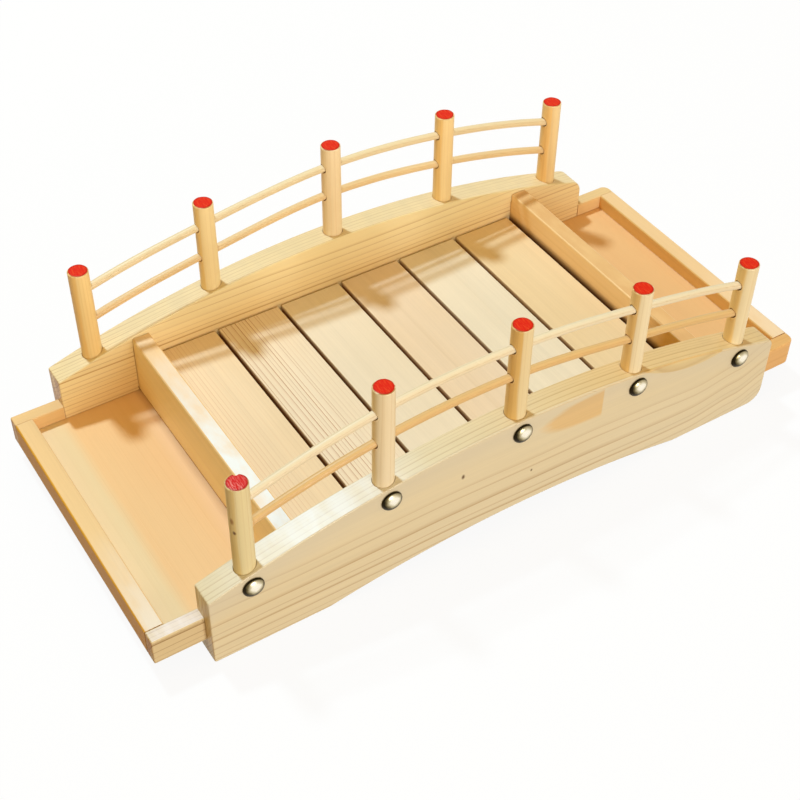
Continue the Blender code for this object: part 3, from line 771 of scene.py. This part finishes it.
# Where the painted shade on each post's left side, as the camera sees it, ends, from -1 at the left to 1, its
# tint, and the pale tone
postShadeSides = dict(
    near=(
        (-0.2, (248, 234, 204), (232, 224, 182)), (-0.65, (249, 238, 210), (246, 233, 206)),
        (0.05, (247, 223, 176), (241, 221, 176)), (-0.35, (250, 226, 180), (249, 237, 206)),
        (-0.4, (250, 230, 188), (248, 234, 198))),
    far=(
        (-0.1, (254, 240, 216), (253, 225, 164)), (-0.4, (253, 240, 212), (253, 230, 178)),
        (-0.7, (254, 242, 220), (254, 236, 204)), (-0.2, (254, 242, 218), (253, 228, 176)),
        (0.0, (254, 238, 210), (253, 230, 181))),
)
shadeSideLook = dict(squeeze=(260.0, 260.0, 16.0), across=(140.0, -90.5, 0.0), ragged=0.6, fade=0.12)
postSpecks = dict(
    near_post_1=(
        ((-0.0052, -0.0030, 0.0520), (0.0013, 0.0013, 0.0017), (120, 88, 50)),
        ((-0.0055, -0.0020, 0.0600), (0.0016, 0.0016, 0.0030), (190, 160, 120))),
    far_post_1=(((-0.0056, 0.0010, 0.0676), (0.0014, 0.0014, 0.0018), (120, 84, 46)),),
)
paint = dict(
    radius=0.0054, shift=(0.00014, 0.0002), raggedness=0.0003, ragWaves=1.6, lift=0.00002, sides=64,
    profile=((1.0, 0.0), (1.0, 0.45), (0.97, 0.8), (0.9, 0.95), (0.6, 1.0), (0.3, 1.0)),
    strokes=(1500.0, 300.0, 300.0), strokeTurn=0.9, thinSide=(-150.0, -60.0, 0.0), thinFrom=(-0.3, 0.8),
    rim=(150, 8, 6), rimFrom=0.0043, bump=0.25, bumpDepth=0.0002, specular=0.15,
    thinSteps=(0.45, 0.68), glossSteps=(0.2, 0.8, 0.3, 0.45), seedStep=3.7,
    fresh=dict(colour=(226, 26, 3), thin=(244, 92, 38), amount=0.8, even=0.6, pooled=0.5),
    worn=dict(colour=(216, 30, 30), thin=(253, 184, 176), amount=1.0, even=0.25, pooled=0.6),
)
chip = dict(
    node="near_post_1", at=(0.0022, 0.0054), lean=(0.0004, 0.001), radius=0.0016, depth=0.0022, above=0.001,
    sides=24,
)
nail = dict(
    head=0.00625, height=0.0030, shank=0.0009, point=0.002, underside=0.93, lip=0.00025, roundness=0.92,
    # head colours: a painted highlight near the middle and a painted dark reflection round the rim
    sides=48, domeSteps=14, outerY=0.1033, bright=(0.0004, 0.0018, 0.0), rim=(0.0050, 0.0060), rimDark=0.85,
    cloud=(330.0, 330.0, 330.0), ragged=0.0024, dull=(0.0012, 0.0082), roughness=(0.22, 0.34),
    glossSteps=(0.3, 1.1), dullGloss=0.4,
    tones=(
        (0.0, (255, 252, 244)), (0.3, (252, 246, 230)), (0.48, (200, 189, 158)), (0.65, (116, 104, 72)),
        (0.82, (40, 33, 20))),
)


def paintMaterial(name, film):
    material, tree, shader = newMaterial(name)
    place = addNode(tree, "TexCoord").outputs["Object"]
    strokes = addNode(tree, "Mapping", {
        "Vector": place, "Rotation": (0.0, 0.0, paint["strokeTurn"]), "Scale": paint["strokes"]}).outputs[0]
    brush = noiseNode(tree, strokes, 3.0, 0.6)
    across = vectorNode(tree, "DOT_PRODUCT", place, paint["thinSide"])
    thin = times(tree, rangeNode(tree, brush, *paint["thinSteps"], 0.0, film["amount"]),
                 rangeNode(tree, across, *paint["thinFrom"], film["even"], 1.0))
    colour = mixNode(tree, thin, toLinear(film["colour"]), toLinear(film["thin"]))
    reach = flatReach(tree, place, (*paint["shift"], 0.0))
    pooled = rangeNode(tree, reach, paint["rimFrom"], paint["radius"], 0.0, film["pooled"])
    fill(tree, shader, {
        "Base Color": mixNode(tree, pooled, colour, toLinear(paint["rim"])),
        "Roughness": rangeNode(tree, brush, *paint["glossSteps"]),
        "Normal": bumpNode(tree, brush, paint["bump"], paint["bumpDepth"]),
        "Specular IOR Level": paint["specular"]})
    return material


# Polished domes, with a painted highlight where they face the light and a painted dark reflection round the
# rim
def nickelMaterial():
    material, tree, shader = newMaterial("nickel")
    place = addNode(tree, "TexCoord").outputs["Object"]
    cloud = noiseNode(tree, stretch(tree, place, nail["cloud"]), 3.0)
    reach = timesPlus(tree, cloud, nail["ragged"], flatReach(tree, place, nail["bright"]))
    rim = rangeNode(tree, flatReach(tree, place), *nail["rim"], 0.0, nail["rimDark"])
    dull = sumNode(tree, "MAXIMUM", rangeNode(tree, reach, *nail["dull"], 0.0, 1.0), rim)
    fill(tree, shader, {
        "Base Color": rampNode(tree, dull, [(at, toLinear(rgb)) for at, rgb in nail["tones"]]),
        "Roughness": rangeNode(tree, timesPlus(tree, dull, nail["dullGloss"], cloud), *nail["glossSteps"],
                               *nail["roughness"]),
        "Metallic": 1.0})
    return material


# Painted shade: the left side of the dowel, as it faces the viewer, in a darker tone
def postMarks(edge, tint, specks):
    def mark(tree, place, colour):
        wave = noiseNode(tree, stretch(tree, place, shadeSideLook["squeeze"]))
        across = vectorNode(tree, "DOT_PRODUCT", place, shadeSideLook["across"])
        share = timesPlus(tree, wave, shadeSideLook["ragged"], minus(tree, across, shadeSideLook["ragged"] / 2))
        mask = rangeNode(tree, share, edge - shadeSideLook["fade"], edge + shadeSideLook["fade"], 1.0, 0.0)
        return speckMarks(specks)(tree, place, tintNode(tree, mask, colour, tint))
    return mark


redPaint, wornPaint = paintMaterial("redPaint", paint["fresh"]), paintMaterial("wornRedPaint", paint["worn"])
nickel = nickelMaterial()


# One post has lost a chip from the back of its top
def chipCutter(node):
    if node != chip["node"]:
        return []
    low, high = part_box(node)
    x, y = ((a + b) / 2 + off for a, b, off in zip(low, high, chip["at"]))
    leanX, leanY = chip["lean"]
    bm = bmesh.new()
    addRod(bm, (x + leanX, y + leanY, high.z - chip["depth"]), (x, y, high.z + chip["above"]), chip["radius"],
           chip["sides"])
    return [bm]


def buildPost(label, side, number, wood):
    node = f"{label}_post_{number}"
    low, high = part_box(node)
    middle, radius, chamfer, bend = (low + high) / 2, post["radius"], post["footChamfer"], post["topRound"]
    height = high.z - low.z - post["paintDepth"]
    body = [(radius, chamfer + (height - bend - chamfer) * i / post["rings"]) for i in range(post["rings"])]
    shoulder = arcPoints(radius - bend, height - bend, bend, 0.0, pi / 2, post["roundSteps"])
    profile = [(0.0, 0.0), (radius - chamfer, 0.0)] + body + shoulder + [(0.0, height)]
    piece = newObject(pieceName(node), lathe(profile, post["sides"]), (middle.x, middle.y, low.z))
    holes, pilot = bmesh.new(), bmesh.new()
    for rise, lifts in railsOf(label):
        end = railReach + rail["holeGap"]
        xs = [max(-end, middle.x - rail["holeReach"]), min(end, middle.x + rail["holeReach"])]
        start, stop = (Vector((x, middle.y, railLine(x, rise, lifts))) for x in xs)
        addRod(holes, start, stop, rail["radius"] + rail["holeGap"], rail["sides"])
    addNailHole(pilot, middleOf(f"{label}_nail_{number}"), side, post["pilotFrom"])
    cutAway(piece, [holes, pilot] + chipCutter(node))
    # the edge and tint of the painted shade on the post's left side, and the post's own pale tone
    edge, tint, early = postShadeSides[label][number - 1]
    turn = number * post["pithTurn"]
    pith = (post["pith"][0] * cos(turn), post["pith"][1] * sin(turn))
    look = dict(wood, early=early, seed=number * post["seedStep"] + side, centre=pith)
    finishPine(piece, node, look, postMarks(edge, tint, postSpecks.get(node, ())), 40)

    # Paint film, a little ragged where the brush stopped
    bm = bmesh.new()
    rings = []
    for share, depth in paint["profile"]:
        ring = []
        for k in range(paint["sides"]):
            x, y = cos(tau * k / paint["sides"]), sin(tau * k / paint["sides"])
            waves, seed = paint["ragWaves"], number * paint["seedStep"] + side
            rag = noise.noise(Vector((waves * x, waves * y, seed)))
            r = (paint["radius"] + rag * paint["raggedness"]) * share
            x, y = (r * turn + share * s for turn, s in zip((x, y), paint["shift"]))
            ring.append(bm.verts.new((x, y, paint["lift"] + (post["paintDepth"] - paint["lift"]) * depth)))
        rings.append(ring)
    tip = bm.verts.new((0.0, 0.0, post["paintDepth"]))
    joinRings(bm, rings)
    for k in range(paint["sides"]):
        bm.faces.new((rings[-1][k], rings[-1][(k + 1) % paint["sides"]], tip))
    cap = newObject(f"{label}Paint{number}", bm, (middle.x, middle.y, high.z - post["paintDepth"]))
    cutAway(cap, chipCutter(node))
    finishPiece(cap, wornPaint if node == chip["node"] else redPaint, (), 60)


def buildNail(label, side, number):
    node = f"{label}_nail_{number}"
    middle = middleOf(node)
    low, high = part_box(node)
    depth = high.y - low.y - nail["height"]
    head, lip = nail["head"], nail["lip"]
    profile = [(0.0, -depth), (nail["shank"], nail["point"] - depth), (nail["shank"], 0.0),
               (head * nail["underside"], 0.0), (head, lip)]
    for step in range(1, nail["domeSteps"] + 1):
        a = pi / 2 * step / nail["domeSteps"]
        profile.append((head * cos(a) ** nail["roundness"], lip + (nail["height"] - lip) * sin(a)))
    profile[-1] = (0.0, nail["height"])
    place = (middle.x, side * nail["outerY"], middle.z)
    piece = newObject(pieceName(node), lathe(profile, nail["sides"]), place)
    piece.rotation_euler = (-side * pi / 2, 0.0, 0.0)
    finishPiece(piece, nickel, [node], 50)


for label, side in bothSides:
    for number in range(1, 6):
        buildPost(label, side, number, post[label + "Wood"])
        buildNail(label, side, number)
print("posts, painted tops and nails built")


# Dividers and deck
divider = dict(
    # the foot and near-end settings paint shade on the right divider's left face
    edge=0.0011, shoulderY=0.0867, shoulderEnd=0.1, clear=0.01, leftFace=-0.004, footShade=0.003,
    footFade=0.006, footTint=(120, 84, 40), nearShade=(-0.045, -0.072), nearTint=(194, 160, 62),
    # the left divider's top, under its painted highlight, is tinted cream
    topBand=0.0006, topHighlightTint=(250, 233, 218),
    left_divider=dict(
        along="y", centre=(0.05, 0.05), spacing=0.005, contrast=0.18, early=(255, 229, 174),
        # the left divider's top has a painted highlight, strongest over its near half
        late=(222, 180, 118), warm=(252, 212, 150), warmAmount=0.4, seed=21.0, paleTop=1.0,
        topLightingColour=(246, 249, 255), topLightingAlong=(("Y", 0.07, 0.0, 0.2, 1.0),)),
    right_divider=dict(
        along="y", centre=(-0.03, 0.06), spacing=0.006, contrast=0.22, early=(253, 216, 160),
        # the right divider's top has painted shade, towards an orange peach
        late=(224, 178, 112), warm=(250, 208, 148), warmAmount=0.5, seed=24.5, paleTop=0.95,
        topLightingColour=(232, 184, 126)),
)
slat = dict(
    # edge, then painted shade down the slat sides: where it starts, its fade and its tint
    edge=0.0005, sideShadeFrom=0.0034, rawFade=0.003, sideShadeTint=(168, 120, 64), seedStep=1.7,
    wood=dict(along="y", roughness=0.52, coat=0.0),
    woods=(
        dict(
            spacing=0.0024, contrastAcross=("X", -0.014, 0.006, 0.9, 0.2), centre=(0.11, 0.02),
            early=(247, 222, 188), late=(196, 134, 80), seed=31.0, warp=0.0012),
        dict(
            spacing=0.0026, contrastAcross=("X", 0.002, 0.009, 1.8, 0.4), centre=(0.09, 0.015),
            early=(250, 232, 208), late=(176, 112, 52), seed=32.0, warp=0.0012),
        dict(
            spacing=0.007, contrast=0.08, centre=(0.01, -0.06), early=(245, 229, 206), seed=33.0,
            warmAmount=0.15),
        dict(
            spacing=0.006, contrast=0.1, centre=(-0.02, -0.05), early=(244, 222, 198), seed=34.0,
            warm=(244, 212, 172), warmAmount=0.5),
        dict(
            spacing=0.007, contrast=0.08, centre=(0.02, -0.07), early=(246, 231, 208), seed=35.0,
            warmAmount=0.12),
        dict(
            spacing=0.006, contrast=0.12, centre=(0.0, -0.05), early=(245, 219, 178), seed=36.0,
            warm=(244, 210, 162), warmAmount=0.6)),
)
# the bearers under the deck are a dark brown: painted shade, seen through the slat gaps
bearer = dict(
    edge=0.0008,
    wood=dict(spacing=0.003, contrast=0.4, early=(150, 112, 66), late=(120, 84, 46), seed=41.0),
)


# Painted shade: the right divider's left face is darker at its foot and towards its near end
def deckCorner(foot):
    def mark(tree, place, colour):
        x, y, z = splitNode(tree, place)
        leftFace = sumNode(tree, "LESS_THAN", x, divider["leftFace"])
        low = times(tree, rangeNode(tree, z, foot - divider["footFade"], foot, 1.0, 0.0), leftFace)
        near = times(tree, rangeNode(tree, y, *divider["nearShade"], 0.0, 1.0), leftFace)
        colour = tintNode(tree, near, colour, divider["nearTint"])
        return tintNode(tree, low, colour, divider["footTint"])
    return mark


for node in ("left_divider", "right_divider"):
    piece = sandedBoard(node, divider["edge"], seed=len(pieceName(node)))
    low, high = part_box(node)
    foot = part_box("deck_slat_1")[1].z - (low.z + high.z) / 2 + divider["footShade"]
    marks = deckCorner(foot)
    if node == "left_divider":  # its top, under its painted highlight, is tinted cream
        band = (high.z - low.z) / 2 - divider["topBand"]
        marks = tintAlong("Z", band + divider["topBand"] / 2, band, divider["topHighlightTint"])
    shoulders, clear = bmesh.new(), divider["clear"]
    for side in (-1, 1):
        start, end = sorted((side * divider["shoulderY"], side * divider["shoulderEnd"]))
        addBox(shoulders, (low.x - clear, start, high.z - beam["shoulder"]),
               (high.x + clear, end, high.z + clear))
    cutAway(piece, [shoulders])
    finishPine(piece, node, divider[node], marks)
# Painted shade: the slats' sides, down in the gaps between them, are darker
shadedSlatSides = tintAlong("Z", slat["sideShadeFrom"] - slat["rawFade"], slat["sideShadeFrom"], slat["sideShadeTint"])
for number, wood in enumerate(slat["woods"], start=1):
    node = f"deck_slat_{number}"
    piece = sandedBoard(node, slat["edge"], seed=number * slat["seedStep"])
    finishPine(piece, node, {**wood, **slat["wood"]}, shadedSlatSides)
for node in ("near_bearer", "far_bearer"):
    finishPine(sandedBoard(node, bearer["edge"]), node, bearer["wood"])
print("dividers, slats and bearers built")


# Floor panel, glued up from boards, and the tray walls round it
floorPanel = dict(
    edge=0.0006, wobble=0.00003, halfLength=0.212, wave=(2.0, 9.0, 2.0), waveDepth=0.006,
    # tints along the panel: a pale board at the left end, a painted sheen beside the left divider's foot at
    # 0.16, painted shade under the deck from 0.19 to 0.81, then the right boards
    boards=(
        (0.0, (246, 252, 250)), (0.046, (246, 252, 250)), (0.062, (254, 240, 220)), (0.145, (254, 240, 222)),
        (0.16, (255, 244, 238)), (0.19, (150, 120, 90)), (0.81, (150, 120, 90)), (0.84, (249, 230, 212)),
        (0.93, (251, 231, 208)), (1.0, (251, 231, 206))),
    wood=dict(
        along="y", spacing=0.006, contrast=0.12, centre=(0.02, -0.08), early=(248, 220, 178),
        late=(224, 184, 128), warm=(248, 210, 162), warmAmount=0.4, streak=0.03, fibre=0.05, seed=51.0),
)
tray = dict(
    edge=0.001, closing=0.00025, corner=0.005, darkFrom=-0.0048, darkFade=0.0006, seedStep=2.1,
    # tints of the painted shade on each end wall's left face
    darkTints=dict(left=(234, 200, 78), right=(233, 217, 166)),
    left_end_wall=dict(
        along="y", spacing=0.004, contrast=0.2, early=(243, 210, 160), warm=(240, 194, 134), seed=61.0,
        # the left end wall's top has a painted highlight, towards its near end
        specular=0.08, coat=0.0, paleTop=0.75, topLightingAlong=(("Y", -0.01, -0.088, 0.0, 1.0),)),
    right_end_wall=dict(
        along="y", spacing=0.005, contrast=0.15, early=(247, 211, 162), warm=(240, 196, 138), seed=62.0,
        # the right end wall's top has a painted highlight, towards its near end
        paleTop=0.5, topLightingColour=(255, 236, 214), topLightingAlong=(("Y", 0.01, -0.075, 0.1, 1.0),)),
    near_left_wall=dict(
        spacing=0.0025, contrast=1.0, centre=(0.03, 0.02), early=(226, 204, 162), late=(146, 104, 52),
        # the near left wall's top has a painted highlight
        seed=63.0, specular=0.08, coat=0.0, endStain=(232, 178, 106), paleTop=0.8,
        topLightingColour=(255, 248, 255)),
    far_left_wall=dict(spacing=0.004, contrast=0.25, early=(240, 200, 142), seed=64.0),
    near_right_wall=dict(
        spacing=0.004, contrast=0.4, centre=(0.02, 0.03), early=(236, 190, 128), late=(206, 146, 78),
        warm=(228, 172, 102), warmAmount=0.6, seed=65.0),
    far_right_wall=dict(spacing=0.004, contrast=0.25, early=(240, 206, 152), seed=66.0),
)


def boardsShadeAndSheen(tree, place, colour):
    wave = noiseNode(tree, stretch(tree, place, floorPanel["wave"]))
    x = timesPlus(tree, wave, floorPanel["waveDepth"], splitNode(tree, place)["X"])
    share = rangeNode(tree, x, -floorPanel["halfLength"], floorPanel["halfLength"], 0.0, 1.0)
    tints = rampNode(tree, share, [(at, toLinear(rgb)) for at, rgb in floorPanel["boards"]])
    return mixNode(tree, 1.0, colour, tints, "MULTIPLY")


def buildTrayWall(node, joints, corner=None, marks=None):
    piece = sandedBoard(node, tray["edge"], seed=len(pieceName(node)) * tray["seedStep"], joints=joints,
                        closing=tray["closing"], corner=corner)
    cutAway(piece, [floorGroove()])
    finishPine(piece, node, tray[node], marks)


piece = sandedBoard("floor_panel", floorPanel["edge"], wobble=floorPanel["wobble"])
finishPiece(piece, pineMaterial("floorPine", floorPanel["wood"], boardsShadeAndSheen), ["floor_panel"])
for end, outward in (("left", -1), ("right", 1)):
    # Painted shade on the left face of each end wall
    dark = tintAlong("X", tray["darkFrom"], tray["darkFrom"] + tray["darkFade"], tray["darkTints"][end])
    buildTrayWall(end + "_end_wall", ((1, -1), (1, 1)), marks=dark)
    for label, side in bothSides:
        corner = (outward, side, tray["corner"]) if end == "right" else None
        buildTrayWall(f"{label}_{end}_wall", ((0, -outward),), corner)
print("floor and trays built")


# Ground, light and camera
ground = dict(
    size=6.0, drop=0.0002, shown=0.92, mirrored=1.0, mirrorTint=(253, 247, 235), white=(252, 252, 252),
    bounce=(124, 104, 78),
)
light = dict(
    ambient=0.53, mirrored=0.7, tint=(1.0, 0.73, 0.28, 1.0), white=(1.0, 1.0, 1.0, 1.0),
    key=dict(place=(-0.25, 0.87, 1.97), aim=(0.0, 0.0, 0.05), size=0.2, power=31.5, colour=(0.62, 0.84, 1.0)),
    fill=dict(place=(0.0, -1.97, 0.38), aim=(0.0, 0.0, 0.03), size=0.7, power=22.0, colour=(1.0, 0.99, 0.97)),
)
viewer = dict(
    place=(-0.358167, -0.536774, 0.635879), azimuth=-32.933, elevation=44.118, roll=0.881, lens=66.0242,
    sensor=36.0, nearest=0.01, farthest=50.0,
)


def buildGround():
    bm = bmesh.new()
    bmesh.ops.create_grid(bm, x_segments=4, y_segments=4, size=ground["size"])
    plane = newObject("ground", bm, (0.0, 0.0, -ground["drop"]))
    material, tree, shader = newMaterial("ground")
    tree.nodes.remove(shader)

    def mixed(*inputs):
        return addNode(tree, "MixShader", enumerate(inputs)).outputs[0]

    bounce = addNode(tree, "BsdfDiffuse", {"Color": toLinear(ground["bounce"])}).outputs[0]
    shade = addNode(tree, "BsdfDiffuse", {"Color": toLinear(ground["white"])}).outputs[0]
    glow = addNode(tree, "Emission", {"Strength": 1.0}).outputs[0]
    sheen = {"Color": toLinear(ground["mirrorTint"]), "Strength": ground["mirrored"]}
    path = addNode(tree, "LightPath").outputs
    unseen = mixed(path["Is Glossy Ray"], bounce, addNode(tree, "Emission", sheen).outputs[0])
    both = mixed(path["Is Camera Ray"], unseen, mixed(ground["shown"], shade, glow))
    tree.links.new(both, tree.nodes["Material Output"].inputs["Surface"])
    plane.data.materials.append(material)


def buildWorld():
    world = bpy.data.worlds.new("studio")
    scene.world = world
    world.use_nodes = True
    tree = world.node_tree
    path = addNode(tree, "LightPath").outputs
    shown = timesPlus(tree, path["Is Glossy Ray"], light["mirrored"], path["Is Camera Ray"], clamp=True)
    fill(tree, tree.nodes["Background"], {
        "Color": mixNode(tree, shown, light["tint"], light["white"]),
        "Strength": rangeNode(tree, shown, 0.0, 1.0, light["ambient"], 1.0)})


def addLamp(name, setting):
    data = bpy.data.lights.new(name, "AREA")
    data.shape = "DISK"
    data.size, data.energy, data.color = setting["size"], setting["power"], setting["colour"]
    lamp = addObject(name, data, setting["place"])
    aim = Vector(setting["aim"]) - Vector(setting["place"])
    lamp.rotation_mode = "QUATERNION"
    lamp.rotation_quaternion = aim.to_track_quat("-Z", "Y")


def addCamera():
    turn, lift, roll = (radians(viewer[key]) for key in ("azimuth", "elevation", "roll"))
    back = Vector((sin(turn) * cos(lift), -cos(turn) * cos(lift), sin(lift)))
    right = Vector((cos(turn), sin(turn), 0.0))
    up = back.cross(right)
    level = (right * cos(roll) + up * sin(roll), up * cos(roll) - right * sin(roll), back)
    data = bpy.data.cameras.new("viewer")
    data.lens, data.sensor_width, data.sensor_fit = viewer["lens"], viewer["sensor"], "HORIZONTAL"
    data.clip_start, data.clip_end = viewer["nearest"], viewer["farthest"]
    camera = addObject("viewer", data)
    camera.matrix_world = Matrix.Translation(viewer["place"]) @ Matrix(level).transposed().to_4x4()
    scene.camera = camera


buildGround()
buildWorld()
addLamp("key", light["key"])
addLamp("fill", light["fill"])
addCamera()
scene.view_settings.view_transform = "Standard"
print("ground, light and camera set")
